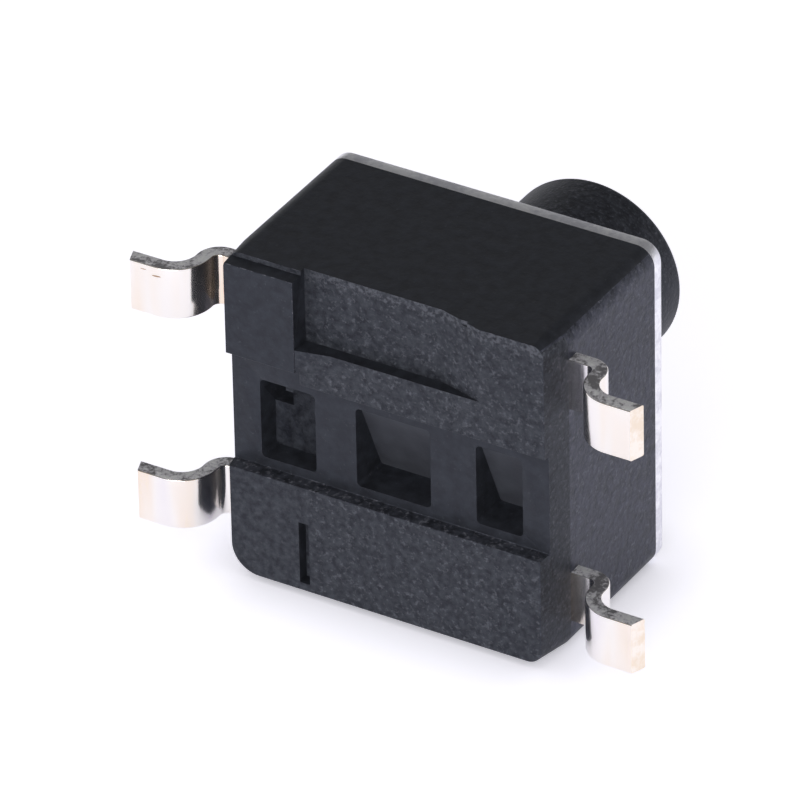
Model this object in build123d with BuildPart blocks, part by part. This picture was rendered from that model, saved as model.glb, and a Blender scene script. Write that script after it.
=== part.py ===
from build123d import *
import math
import os

# Surface-mount pushbutton switch: a square moulded base with four gull-wing leads,
# a snap dome on its contacts, a round button and a flat cover plate staked on top.
# The solder feet stand on the plane Z = 0. The button moves along Z. The leads run along X.
# All sizes are in millimetres.

# Moulded base, outside
body_width = 4.5  # along X
body_depth = 4.5  # along Y
body_height = 2.65  # from its underside to the seat of the cover plate
body_corner = 0.25
stand_off = 0.02  # the underside clears the circuit board by this much
skirt_inset_left = 0.12  # below the parting line the -X side tapers in by this much
skirt_inset_right = 0.07  # the same on the +X side
skirt_inset_back = 0.09  # the same on the +Y side; the -Y side runs straight down
skirt_corner = 0.12  # corners of the underside
skirt_back_left_corner = 0.38
skirt_back_right_corner = 0.2
edge_round = 0.06  # softened edges of the pad and the band

# Underside: a raised band, a raised corner pad, a lower land and the face between them
relief_depth = 0.2  # lower face behind the band and the pad
band_width = 1.57  # band along the +Y side
pad_width = 1.08  # pad in the corner at -X, -Y
pad_length = 1.27
pad_set_back = 0.06  # pad and land behind the -Y side face
land_height = 0.09  # land along the -Y side, above the lower face
land_width = 1.55
marking_length = 2.5  # shallow panel in the land, beside the pad
marking_width = 1.01
marking_sink = 0.08  # below the lower face
marking_ramp = 0.6  # end of the panel where its floor slopes up to the land
slit_offset = 1.08  # narrow slit in the band, from the -X side
slit_width = 0.14
slit_length = 0.86
slit_inset = 0.2  # from the +Y side
slit_depth = 0.16

# Underside: three core pockets in a row
pocket_length = 1.1  # along Y
pocket_depth = 0.55  # from the lower face
pocket_spacing = 1.46
pocket_offset = 0.06  # middle pocket from the centre, towards +X
left_pocket_width = 0.77
middle_pocket_width = 1.03
right_pocket_width = 0.64
pocket_step_depth = 0.32  # the left pocket is shallower over most of its length
pocket_step_length = 0.86
pocket_corner = 0.06
pocket_draft = 0.02  # each wall leans in by this much down to the floor

# Terminals: one strip across the body for each pair of leads
lead_thickness = 0.2
lead_width = 0.7
lead_pitch = 3.0  # along Y
lead_span = 7.0  # tip to tip along X
lead_exit = 0.62  # lower face of the lead above the board, where it leaves the moulding
foot_length = 0.42  # flat part of the solder foot
tip_slant = 0.07  # the cut end of the foot leans out by this much from bottom to top
knee_radius = 0.2  # upper bend, on the centre line
heel_radius = 0.38  # lower bend, on the centre line

# Contact tongues, cranked up from the strips to the floor of the dome cavity
contact_level = 1.07  # top of the contacts and the cavity floor, above the board
crank_start = 0.1  # from the strip to the crank
crank_run = 0.35
crank_bend = 0.12
middle_tongue_width = 0.6
middle_tongue_reach = 0.35  # past the middle of the switch
outer_tongue_width = 0.5
outer_tongue_offset = 1.3
outer_tongue_reach = 0.5

# Snap dome
dome_radius = 1.5
dome_height = 0.42
dome_thickness = 0.06
dome_room = 0.1  # around the dome's rim in the cavity

# Cover plate and the posts that hold it
plate_thickness = 0.16
plate_bevel = 0.03
post_radius = 0.28
post_inset = 0.5  # post centres from the side faces
post_clearance = 0.02
head_radius = 0.42
head_height = 0.1
head_bevel = 0.05

# Button
button_radius = 1.2
button_height = 5.2  # top of the button above the board
button_round = 0.1
button_clearance = 0.05  # around the button in the plate's hole
flange_thickness = 0.5
flange_clearance = 0.08
stem_round = 0.05  # root of the round part on the flange
nub_radius = 0.5
nub_bevel = 0.08
key_width = 0.5  # two keys stop the button from turning
key_reach = 0.15
key_clearance = 0.05
end_play = 0.02  # flange below the plate
dome_gap = 0.01  # nub above the dome

# Levels and places that follow from the sizes above
lower_face = stand_off + relief_depth
body_top = stand_off + body_height
plate_top = body_top + plate_thickness
land_face = lower_face - land_height
front_edge = -body_depth / 2 + pad_set_back
band_edge = body_depth / 2 - band_width
land_edge = -body_depth / 2 + land_width
pad_edge = -body_width / 2 + pad_width
strip_middle = lead_exit + lead_thickness / 2
tongue_middle = contact_level - lead_thickness / 2
cavity_radius = dome_radius + dome_room
flange_radius = cavity_radius - flange_clearance
flange_top = body_top - end_play
flange_bottom = flange_top - flange_thickness
nub_bottom = contact_level + dome_height + dome_gap
heel_bend = min(heel_radius, lead_exit - knee_radius)
riser_place = lead_span / 2 - foot_length - heel_bend
strip_inner_edge = lead_pitch / 2 - lead_width / 2
post_spacing_x = body_width - 2 * post_inset
post_spacing_y = body_depth - 2 * post_inset

os.makedirs("parts", exist_ok=True)


def strip_section():
    # Gull-wing lead, straight strip through the body, gull-wing lead
    with BuildLine() as centre_line:
        FilletPolyline(
            (-lead_span / 2, lead_thickness / 2),
            (-riser_place, lead_thickness / 2),
            (-riser_place, strip_middle),
            (riser_place, strip_middle),
            (riser_place, lead_thickness / 2),
            (lead_span / 2, lead_thickness / 2),
            radius=[heel_bend, knee_radius, knee_radius, heel_bend],
        )
    trace(centre_line.line, line_width=lead_thickness)
    # The ends are cut on a slant
    for side in (-1, 1):
        with BuildLine() as corner:
            Polyline(
                (side * lead_span / 2, 0),
                (side * lead_span / 2, lead_thickness),
                (side * (lead_span / 2 - tip_slant), 0),
                close=True,
            )
        make_face(corner.line, mode=Mode.SUBTRACT)


def tongue_section(side, reach):
    # Side view of a tongue: it leaves the strip on the given side of the body,
    # is cranked up to the cavity floor and ends past the middle by its reach.
    crank_low = side * (strip_inner_edge - crank_start)
    crank_high = side * (strip_inner_edge - crank_start - crank_run)
    with BuildLine() as centre_line:
        FilletPolyline(
            (side * lead_pitch / 2, strip_middle),
            (crank_low, strip_middle),
            (crank_high, tongue_middle),
            (-side * reach, tongue_middle),
            radius=crank_bend,
        )
    trace(centre_line.line, line_width=lead_thickness)


# Terminal under the middle of the dome: leads 1 and 2 on the -Y side
with BuildPart() as middle_terminal:
    with BuildSketch(Plane.XZ.offset(lead_pitch / 2)):
        strip_section()
    extrude(amount=lead_width / 2, both=True)
    with BuildSketch(Plane.YZ):
        tongue_section(-1, middle_tongue_reach)
    extrude(amount=middle_tongue_width / 2, both=True)

# Terminal under the dome's rim: leads 3 and 4 on the +Y side
with BuildPart() as outer_terminal:
    with BuildSketch(Plane.XZ.offset(-lead_pitch / 2)):
        strip_section()
    extrude(amount=lead_width / 2, both=True)
    for tongue_place in (-outer_tongue_offset, outer_tongue_offset):
        with BuildSketch(Plane.YZ.offset(tongue_place)):
            tongue_section(1, outer_tongue_reach)
        extrude(amount=outer_tongue_width / 2, both=True)


def skirt_outline():
    # Outline of the underside, where the tapered sides end
    with BuildSketch() as outline:
        with Locations(((skirt_inset_left - skirt_inset_right) / 2, -skirt_inset_back / 2)):
            Rectangle(body_width - skirt_inset_left - skirt_inset_right, body_depth - skirt_inset_back)
        fillet(outline.vertices().group_by(Axis.Y)[0], radius=skirt_corner)
        fillet(outline.vertices().group_by(Axis.Y)[-1].sort_by(Axis.X)[0], radius=skirt_back_left_corner)
        fillet(outline.vertices().group_by(Axis.Y)[-1].sort_by(Axis.X)[-1], radius=skirt_back_right_corner)
    add(outline.sketch)


def cut_down(level, x_low, x_high, y_low, y_high):
    # Takes the underside away over a rectangle, up to the given level
    with BuildSketch(Plane.XY.offset(stand_off - relief_depth)) as patch:
        with Locations((x_low, y_low)):
            Rectangle(x_high - x_low, y_high - y_low, align=(Align.MIN, Align.MIN))
    extrude(patch.sketch, amount=level - stand_off + relief_depth, mode=Mode.SUBTRACT)


def add_pocket(place, width, depth):
    # Core pocket with drafted walls, open on the underside
    with BuildSketch(Plane.XY.offset(lower_face)) as mouth:
        with Locations((place, 0)):
            RectangleRounded(width, pocket_length, pocket_corner)
    with BuildSketch(Plane.XY.offset(lower_face + depth)) as floor:
        with Locations((place, 0)):
            RectangleRounded(
                width - 2 * pocket_draft,
                pocket_length - 2 * pocket_draft,
                pocket_corner - pocket_draft,
            )
    loft([mouth.sketch.face(), floor.sketch.face()], mode=Mode.SUBTRACT)


# Moulded base with the terminals moulded in
with BuildPart() as base:
    # Body above the parting line, which runs along the leads' lower face
    with BuildSketch(Plane.XY.offset(lead_exit)):
        RectangleRounded(body_width, body_depth, body_corner)
    extrude(amount=body_top - lead_exit)

    # Tapered sides from the parting line down to the underside
    with BuildSketch(Plane.XY.offset(stand_off)):
        skirt_outline()
    with BuildSketch(Plane.XY.offset(lead_exit)):
        RectangleRounded(body_width, body_depth, body_corner)
    loft()

    # Underside cut back between the pad and the band, in front of them and over the land
    half_width = body_width / 2
    half_depth = body_depth / 2
    cut_down(lower_face, -half_width, half_width, land_edge, band_edge)
    cut_down(lower_face, -half_width, half_width, -half_depth, front_edge)
    cut_down(lower_face, -half_width, pad_edge, front_edge + pad_length, land_edge)
    cut_down(land_face, pad_edge, half_width, front_edge, land_edge)
    fillet(base.faces().filter_by(Axis.Z).group_by(Axis.Z)[0].edges(), radius=edge_round)

    # Shallow panel in the land, open to the -Y side, with a sloping end
    panel_floor = lower_face + marking_sink
    panel_end = pad_edge + marking_length
    with BuildSketch(Plane.XZ.offset(half_depth)):
        with BuildLine():
            Polyline(
                (pad_edge, stand_off - relief_depth),
                (pad_edge, panel_floor),
                (panel_end - marking_ramp, panel_floor),
                (panel_end, land_face),
                (panel_end, stand_off - relief_depth),
                close=True,
            )
        make_face()
    extrude(amount=-marking_width, mode=Mode.SUBTRACT)

    # Narrow slit in the band
    slit_end = half_depth - slit_inset
    cut_down(
        stand_off + slit_depth,
        -half_width + slit_offset,
        -half_width + slit_offset + slit_width,
        slit_end - slit_length,
        slit_end,
    )

    # Core pockets
    add_pocket(pocket_offset - pocket_spacing, left_pocket_width, pocket_depth)
    add_pocket(pocket_offset, middle_pocket_width, pocket_depth)
    add_pocket(pocket_offset + pocket_spacing, right_pocket_width, pocket_depth)

    # Step in the left pocket
    with BuildSketch(Plane.XY.offset(lower_face + pocket_step_depth)):
        with Locations((pocket_offset - pocket_spacing, pocket_length / 2)):
            Rectangle(left_pocket_width, pocket_step_length, align=(Align.CENTER, Align.MAX))
    extrude(amount=pocket_depth - pocket_step_depth)

    # Cavity for the dome and the button's flange, with two slots for its keys
    with BuildSketch(Plane.XY.offset(contact_level)):
        Circle(cavity_radius)
    extrude(amount=body_top - contact_level, mode=Mode.SUBTRACT)
    with BuildSketch(Plane.XY.offset(contact_level)):
        Rectangle(2 * (cavity_radius + key_reach), key_width + 2 * key_clearance)
    extrude(amount=body_top - contact_level, mode=Mode.SUBTRACT)

    # Posts through the cover plate, with heads formed over it
    with BuildSketch(Plane.XY.offset(body_top)):
        with GridLocations(post_spacing_x, post_spacing_y, 2, 2):
            Circle(post_radius)
    extrude(amount=plate_thickness)
    with BuildSketch(Plane.XY.offset(plate_top)):
        with GridLocations(post_spacing_x, post_spacing_y, 2, 2):
            Circle(head_radius)
    extrude(amount=head_height)
    chamfer(base.faces().filter_by(Axis.Z).group_by(Axis.Z)[-1].edges(), length=head_bevel)

    # The terminals fill their own space in the moulding
    add(middle_terminal.part, mode=Mode.SUBTRACT)
    add(outer_terminal.part, mode=Mode.SUBTRACT)


# Snap dome: a shallow cap of spring steel, ground flat at its rim
dome_outer = (dome_radius**2 + dome_height**2) / (2 * dome_height)
dome_inner = dome_outer - dome_thickness
dome_centre = dome_height - dome_outer
dome_rim_inner = math.sqrt(dome_inner**2 - dome_centre**2)

with BuildPart() as dome:
    with BuildSketch(Plane.XZ):
        with BuildLine():
            outer_arc = RadiusArc((0, contact_level + dome_height), (dome_radius, contact_level), dome_outer)
            rim = Line((dome_radius, contact_level), (dome_rim_inner, contact_level))
            inner_arc = RadiusArc(
                (dome_rim_inner, contact_level),
                (0, contact_level + dome_height - dome_thickness),
                -dome_inner,
            )
            Line(inner_arc @ 1, outer_arc @ 0)
        make_face()
    revolve(axis=Axis.Z)

# Button with its flange, keys and plunger nub
with BuildPart() as button:
    with BuildSketch(Plane.XY.offset(flange_bottom)):
        Circle(flange_radius)
    extrude(amount=flange_thickness)
    with BuildSketch(Plane.XY.offset(flange_bottom)):
        Rectangle(2 * (flange_radius + key_reach), key_width)
    extrude(amount=flange_thickness)
    with BuildSketch(Plane.XY.offset(flange_top)):
        Circle(button_radius)
    extrude(amount=button_height - flange_top)
    fillet(button.faces().sort_by(Axis.Z)[-1].edges(), radius=button_round)
    fillet(
        [
            edge
            for edge in button.edges().filter_by(GeomType.CIRCLE)
            if abs(edge.radius - button_radius) < 0.001 and edge.center().Z < plate_top
        ],
        radius=stem_round,
    )
    with BuildSketch(Plane.XY.offset(nub_bottom)):
        Circle(nub_radius)
    extrude(amount=flange_bottom - nub_bottom)
    chamfer(button.faces().sort_by(Axis.Z)[0].edges(), length=nub_bevel)

# Stamped cover plate
with BuildPart() as cover_plate:
    with BuildSketch(Plane.XY.offset(body_top)):
        RectangleRounded(body_width, body_depth, body_corner)
        Circle(button_radius + button_clearance, mode=Mode.SUBTRACT)
        with GridLocations(post_spacing_x, post_spacing_y, 2, 2):
            Circle(post_radius + post_clearance, mode=Mode.SUBTRACT)
    extrude(amount=plate_thickness)
    chamfer(
        cover_plate.faces().sort_by(Axis.Z)[-1].outer_wire().edges(),
        length=plate_bevel,
    )

base.part.label = "base"
export_step(base.part, "parts/base.step")

middle_terminal.part.label = "middle_terminal"
export_step(middle_terminal.part, "parts/middle_terminal.step")

outer_terminal.part.label = "outer_terminal"
export_step(outer_terminal.part, "parts/outer_terminal.step")

dome.part.label = "snap_dome"
export_step(dome.part, "parts/snap_dome.step")

button.part.label = "button"
export_step(button.part, "parts/button.step")

cover_plate.part.label = "cover_plate"
export_step(cover_plate.part, "parts/cover_plate.step")
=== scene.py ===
import math
import bmesh
import bpy
from mathutils import Matrix, Vector


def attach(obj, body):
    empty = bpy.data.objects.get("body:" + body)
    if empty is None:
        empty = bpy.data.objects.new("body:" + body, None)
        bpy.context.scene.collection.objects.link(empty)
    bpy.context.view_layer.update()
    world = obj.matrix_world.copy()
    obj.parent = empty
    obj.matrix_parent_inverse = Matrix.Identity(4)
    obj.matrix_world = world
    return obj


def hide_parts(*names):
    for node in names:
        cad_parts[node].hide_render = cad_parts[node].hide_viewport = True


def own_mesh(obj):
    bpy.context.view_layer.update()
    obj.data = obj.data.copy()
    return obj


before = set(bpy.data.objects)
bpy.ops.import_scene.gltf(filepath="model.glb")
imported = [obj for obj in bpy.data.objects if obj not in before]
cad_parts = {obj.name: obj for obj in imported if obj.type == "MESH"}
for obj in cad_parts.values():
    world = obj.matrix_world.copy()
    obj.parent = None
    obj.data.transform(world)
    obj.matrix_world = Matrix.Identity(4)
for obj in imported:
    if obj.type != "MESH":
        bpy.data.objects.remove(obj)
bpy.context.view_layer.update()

# Surface-mount pushbutton switch, seen from below as it lies on its side.
# Pieces are drawn in millimetres and brought to metres by finishMesh.

perMetre = 1000.0  # a length in mm is divided by this, and a pattern 1 mm wide has it as its scale
noiseLow, noiseHigh = 0.3, 0.7  # a noise texture seldom leaves this range
drawnOut = 0.12  # along the way the metal was drawn or rolled, a pattern changes this much slower


def hexColour(code):
    # sRGB hex to the linear values the shaders want
    parts = [int(code[i:i + 2], 16) / 255 for i in (1, 3, 5)]
    return tuple(c / 12.92 if c <= 0.04045 else ((c + 0.055) / 1.055) ** 2.4 for c in parts) + (1.0,)


def addNode(tree, kind, inputs=None, **settings):
    # one node with its settings, its values and its links
    node = tree.nodes.new(kind)
    for key, value in settings.items():
        setattr(node, key, value)
    for key, value in (inputs or {}).items():
        if isinstance(value, bpy.types.NodeSocket):
            tree.links.new(value, node.inputs[key])
        else:
            node.inputs[key].default_value = value
    return node


def newMaterial(name):
    material = bpy.data.materials.new(name)
    material.use_nodes = True
    material.node_tree.nodes.clear()
    return material, material.node_tree


def setRamp(node, stops):
    ramp = node.color_ramp
    while len(ramp.elements) > 1:
        ramp.elements.remove(ramp.elements[-1])
    ramp.elements[0].position, ramp.elements[0].color = stops[0]
    for position, colour in stops[1:]:
        ramp.elements.new(position).color = colour


def mouldedNylon(name, look):
    # Black glass-filled nylon, injection moulded: the resin itself is nearly black, and what the
    # eye sees is mostly the soft grey sheen of its skin, broken up by the mould's texture and by
    # pale specks where glass fibre lies at the surface. A fibre is only 0.01 mm thick and the
    # grain of the mould 0.03 mm, too fine to show, so both are drawn three to six times as coarse.
    material, tree = newMaterial(name)
    spot = addNode(tree, "ShaderNodeTexCoord").outputs["Object"]
    mottle = addNode(tree, "ShaderNodeTexNoise", {
        "Vector": spot, "Scale": perMetre / look["mottleMm"], "Detail": 3.0, "Roughness": 0.6})
    grain = addNode(tree, "ShaderNodeTexNoise", {
        "Vector": spot, "Scale": perMetre / look["grainMm"], "Detail": 2.0, "Roughness": 0.6})
    # texture is full on one side of a place along X and fades to the smooth finish on the other
    along = addNode(tree, "ShaderNodeSeparateXYZ", {"Vector": spot})
    amount = addNode(tree, "ShaderNodeMapRange", {
        "Value": along.outputs["X"], "From Min": look["fadeFrom"] / perMetre,
        "From Max": look["fadeTo"] / perMetre, "To Min": look["calm"], "To Max": 1.0},
        interpolation_type="SMOOTHSTEP")
    # pale specks, more of them towards the -Y edge: partly wear, partly a painted highlight along that edge
    edge = addNode(tree, "ShaderNodeMapRange", {
        "Value": along.outputs["Y"], "From Min": look["paleEdgeFrom"] / perMetre,
        "From Max": look["paleEdgeTo"] / perMetre, "To Min": 0.0, "To Max": look["edgeWearAndHighlight"]},
        interpolation_type="SMOOTHSTEP")
    chance = addNode(tree, "ShaderNodeMath", {
        0: grain.outputs["Fac"], 1: edge.outputs["Result"]}, operation="ADD")
    speck = addNode(tree, "ShaderNodeMapRange", {
        "Value": chance.outputs["Value"], "From Min": look["speckFrom"],
        "From Max": look["speckFrom"] + look["speckBlend"], "To Min": 0.0, "To Max": look["speckAmount"]},
        clamp=True)
    speckShare = addNode(tree, "ShaderNodeMath", {
        0: speck.outputs["Result"], 1: amount.outputs["Result"]}, operation="MULTIPLY")
    shade = addNode(tree, "ShaderNodeValToRGB", {"Fac": mottle.outputs["Fac"]})
    setRamp(shade, [(look["darkBelow"], hexColour(look["dark"])),
                    (look["lightAbove"], hexColour(look["light"]))])
    colour = addNode(tree, "ShaderNodeMix", {
        0: speckShare.outputs["Value"], 6: shade.outputs["Color"], 7: hexColour(look["speck"])},
        data_type="RGBA")
    rough = addNode(tree, "ShaderNodeMapRange", {
        "Value": mottle.outputs["Fac"], "From Min": noiseLow, "From Max": noiseHigh,
        "To Min": look["rough"] - look["roughSpread"], "To Max": look["rough"] + look["roughSpread"]})
    broad = addNode(tree, "ShaderNodeMath", {
        0: mottle.outputs["Fac"], 1: amount.outputs["Result"]}, operation="MULTIPLY")
    close = addNode(tree, "ShaderNodeMath", {
        0: grain.outputs["Fac"], 1: amount.outputs["Result"]}, operation="MULTIPLY")
    coarse = addNode(tree, "ShaderNodeBump", {
        "Height": broad.outputs["Value"], "Strength": 1.0, "Distance": look["mottleDeep"] / perMetre})
    fine = addNode(tree, "ShaderNodeBump", {
        "Height": close.outputs["Value"], "Normal": coarse.outputs["Normal"],
        "Strength": 1.0, "Distance": look["grainDeep"] / perMetre})
    body = addNode(tree, "ShaderNodeBsdfPrincipled", {
        "Base Color": colour.outputs[2], "Roughness": rough.outputs["Result"],
        "Normal": fine.outputs["Normal"], "Specular IOR Level": look["specular"], "IOR": 1.53,
        "Specular Tint": hexColour("#d9e3ff")})
    addNode(tree, "ShaderNodeOutputMaterial", {"Surface": body.outputs["BSDF"]})
    return material


def tinPlate(name, look):
    # Bright tin plated over brass strip: near white and smooth enough to mirror the dark
    # housing, with faint lines across the strip from the bending tool and warm, thin patches.
    # The tool's lines are about 0.03 mm apart and are drawn three times as coarse, to show.
    material, tree = newMaterial(name)
    spot = addNode(tree, "ShaderNodeTexCoord").outputs["Object"]
    across = addNode(tree, "ShaderNodeMapping", {
        "Vector": spot, "Scale": (1.0, drawnOut, 1.0)}, vector_type="POINT")
    lines = addNode(tree, "ShaderNodeTexNoise", {
        "Vector": across.outputs["Vector"], "Scale": perMetre / look["lineMm"], "Detail": 2.0})
    patches = addNode(tree, "ShaderNodeTexNoise", {
        "Vector": across.outputs["Vector"], "Scale": perMetre / look["patchMm"], "Detail": 3.0})
    # warmer towards the tips of the feet, where the plating is worn by handling
    parts = addNode(tree, "ShaderNodeSeparateXYZ", {"Vector": spot})
    reach = addNode(tree, "ShaderNodeMath", {0: parts.outputs["X"]}, operation="ABSOLUTE")
    tip = addNode(tree, "ShaderNodeMapRange", {
        "Value": reach.outputs["Value"], "From Min": look["tipFrom"] / perMetre,
        "From Max": look["tipTo"] / perMetre, "To Min": 0.0, "To Max": look["tipWarmth"]})
    warmth = addNode(tree, "ShaderNodeMath", {
        0: patches.outputs["Fac"], 1: tip.outputs["Result"]}, operation="ADD")
    tint = addNode(tree, "ShaderNodeValToRGB", {"Fac": warmth.outputs["Value"]})
    setRamp(tint, [(look["coolBelow"], hexColour(look["cool"])), (look["plainAt"], hexColour(look["plain"])),
                   (look["warmAbove"], hexColour(look["warm"]))])
    colour = tint.outputs["Color"]
    # two short scratches on one foot, through the tin to the brass
    for scratch in look["scratches"]:
        stroke = addNode(tree, "ShaderNodeMapping", {
            "Vector": spot, "Location": [v / perMetre for v in scratch["at"]] + [0.0],
            "Rotation": (0.0, 0.0, math.radians(scratch["turn"])),
            "Scale": [scratch[way] / perMetre for way in ("long", "wide", "deep")]}, vector_type="TEXTURE")
        far = addNode(tree, "ShaderNodeVectorMath", {0: stroke.outputs["Vector"]}, operation="LENGTH")
        mark = addNode(tree, "ShaderNodeMapRange", {
            "Value": far.outputs["Value"], "From Min": 1.0, "From Max": scratch["core"],
            "To Min": 0.0, "To Max": scratch["amount"]}, clamp=True)
        colour = addNode(tree, "ShaderNodeMix", {
            0: mark.outputs["Result"], 6: colour, 7: hexColour(look["brass"])}, data_type="RGBA").outputs[2]
    rough = addNode(tree, "ShaderNodeMapRange", {
        "Value": lines.outputs["Fac"], "From Min": noiseLow, "From Max": noiseHigh,
        "To Min": look["smoothest"], "To Max": look["roughest"]})
    bump = addNode(tree, "ShaderNodeBump", {
        "Height": lines.outputs["Fac"], "Strength": 1.0, "Distance": look["lineDeep"] / perMetre})
    body = addNode(tree, "ShaderNodeBsdfPrincipled", {
        "Base Color": colour, "Metallic": 1.0, "Roughness": rough.outputs["Result"],
        "Normal": bump.outputs["Normal"]})
    addNode(tree, "ShaderNodeOutputMaterial", {"Surface": body.outputs["BSDF"]})
    return material


def shearedEdge(name, look):
    # Cut side of a stamped strip: partly burnished by the punch and partly torn, so it glitters
    # light and dark beside the smooth faces. Real tears are a few hundredths of a millimetre
    # wide, and they are drawn about twice as coarse, to show.
    material, tree = newMaterial(name)
    spot = addNode(tree, "ShaderNodeTexCoord").outputs["Object"]
    torn = addNode(tree, "ShaderNodeTexNoise", {
        "Vector": spot, "Scale": perMetre / look["tearMm"], "Detail": 3.0, "Roughness": 0.65})
    zones = addNode(tree, "ShaderNodeTexNoise", {
        "Vector": spot, "Scale": perMetre / look["zoneMm"], "Detail": 1.0})
    both = addNode(tree, "ShaderNodeMix", {
        0: 0.5, 2: torn.outputs["Fac"], 3: zones.outputs["Fac"]}, data_type="FLOAT")
    shade = addNode(tree, "ShaderNodeValToRGB", {"Fac": both.outputs[0]})
    setRamp(shade, [(0.5 - look["blend"], hexColour(look["dark"])), (0.5, hexColour(look["middle"])),
                    (0.5 + look["blend"], hexColour(look["light"]))])
    bump = addNode(tree, "ShaderNodeBump", {
        "Height": torn.outputs["Fac"], "Strength": 1.0, "Distance": look["deep"] / perMetre})
    body = addNode(tree, "ShaderNodeBsdfPrincipled", {
        "Base Color": shade.outputs["Color"], "Metallic": 1.0, "Roughness": look["rough"],
        "Normal": bump.outputs["Normal"]})
    addNode(tree, "ShaderNodeOutputMaterial", {"Surface": body.outputs["BSDF"]})
    return material


def rolledSteel(name, look):
    # Stainless sheet as rolled: pale grey and satin, with fine grain along X. The real grain is
    # under 0.01 mm across and is drawn about four times as coarse, to show.
    material, tree = newMaterial(name)
    spot = addNode(tree, "ShaderNodeTexCoord").outputs["Object"]
    stretched = addNode(tree, "ShaderNodeMapping", {
        "Vector": spot, "Scale": (drawnOut, 1.0, 1.0)}, vector_type="POINT")
    grain = addNode(tree, "ShaderNodeTexNoise", {
        "Vector": stretched.outputs["Vector"], "Scale": perMetre / look["grainMm"], "Detail": 3.0})
    rough = addNode(tree, "ShaderNodeMapRange", {
        "Value": grain.outputs["Fac"], "From Min": noiseLow, "From Max": noiseHigh,
        "To Min": look["smoothest"], "To Max": look["roughest"]})
    bump = addNode(tree, "ShaderNodeBump", {
        "Height": grain.outputs["Fac"], "Strength": 1.0, "Distance": look["grainDeep"] / perMetre})
    body = addNode(tree, "ShaderNodeBsdfPrincipled", {
        "Base Color": hexColour(look["colour"]), "Metallic": 1.0,
        "Roughness": rough.outputs["Result"], "Normal": bump.outputs["Normal"]})
    addNode(tree, "ShaderNodeOutputMaterial", {"Surface": body.outputs["BSDF"]})
    return material


# what the nylon's finishes have in common: no pale -Y edge (wear and painted highlight), and as much texture
# all over (calm 1.0)
evenFinish = {
    "edgeWearAndHighlight": 0.0, "paleEdgeFrom": -2.02, "paleEdgeTo": -2.2, "fadeFrom": -1.3, "fadeTo": -0.75, "calm": 1.0,
    "darkBelow": 0.35, "lightAbove": 0.68, "speckBlend": 0.2, "roughSpread": 0.05}
# polished parts of the mould: pad, bars between the pockets, -Y and +Y walls
smoothNylon = mouldedNylon("glassFilledNylonPolishedMould", evenFinish | {
    "dark": "#242529", "light": "#32343a", "speck": "#62636a", "speckAmount": 0.35, "speckFrom": 0.64,
    "mottleMm": 0.16, "grainMm": 0.05, "mottleDeep": 0.006, "grainDeep": 0.002,
    "rough": 0.5, "specular": 0.3})
# spark-eroded parts of the mould: land, panel and most of the band, smoother towards the pad; pale specks
# gather towards the -Y edge, partly wear and partly painted highlight
sparkedNylon = mouldedNylon("glassFilledNylonSparkErodedMould", evenFinish | {
    "dark": "#1f2024", "light": "#42444a", "speck": "#777981", "speckAmount": 0.5, "speckFrom": 0.55,
    "mottleMm": 0.09, "grainMm": 0.055, "mottleDeep": 0.01, "grainDeep": 0.006,
    "rough": 0.56, "specular": 0.3, "edgeWearAndHighlight": 0.13, "calm": 0.3})
# drafted side walls, drawn over by the mould as the part comes out; their colour is lighter and their sheen
# stronger than the other faces': painted light for the light falling on the +X side
draftedAndLitSideNylon = mouldedNylon("glassFilledNylonDraftedSide", evenFinish | {
    "dark": "#15161d", "light": "#4d4e5b", "speck": "#82838f", "speckAmount": 0.55, "speckFrom": 0.56,
    "mottleMm": 0.1, "grainMm": 0.06, "mottleDeep": 0.014, "grainDeep": 0.008,
    "rough": 0.5, "specular": 0.42})
# moulded edges and rounds, paler than the flat faces: partly rubbed pale in places, partly a painted
# highlight along the edges
rubbedAndHighlitNylon = mouldedNylon("glassFilledNylonRubbedEdge", evenFinish | {
    "dark": "#26272c", "light": "#45474f", "speck": "#8c8d97", "speckAmount": 0.6, "speckFrom": 0.54,
    "mottleMm": 0.09, "grainMm": 0.06, "mottleDeep": 0.01, "grainDeep": 0.006,
    "rough": 0.55, "specular": 0.3, "edgeWearAndHighlight": 0.08})
# floor of the first pocket, torn where the core was drawn out, and coloured darker than the other floors:
# painted shade
tornAndShadedNylon = mouldedNylon("glassFilledNylonTornFloor", evenFinish | {
    "dark": "#101013", "light": "#34363b", "speck": "#5a5b62", "speckAmount": 0.3, "speckFrom": 0.62,
    "mottleMm": 0.14, "grainMm": 0.06, "mottleDeep": 0.03, "grainDeep": 0.006,
    "rough": 0.55, "specular": 0.25})
# floors of the other pockets, smooth against the ground ends of the cores and coloured lighter than the open
# faces: a painted pool of light, for the light reaching into the pockets
coredAndLitFloorNylon = mouldedNylon("glassFilledNylonGroundCore", evenFinish | {
    "dark": "#3c3d43", "light": "#46484e", "speck": "#62636a", "speckAmount": 0.3, "speckFrom": 0.66,
    "mottleMm": 0.3, "grainMm": 0.05, "mottleDeep": 0.004, "grainDeep": 0.001,
    "rough": 0.5, "specular": 0.35})
# the button comes from a mould of its own, with a fine even texture
buttonNylon = mouldedNylon("glassFilledNylonButton", evenFinish | {
    "dark": "#232429", "light": "#404249", "speck": "#74757f", "speckAmount": 0.5, "speckFrom": 0.58,
    "mottleMm": 0.09, "grainMm": 0.045, "mottleDeep": 0.008, "grainDeep": 0.006,
    "rough": 0.55, "specular": 0.3})

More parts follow.
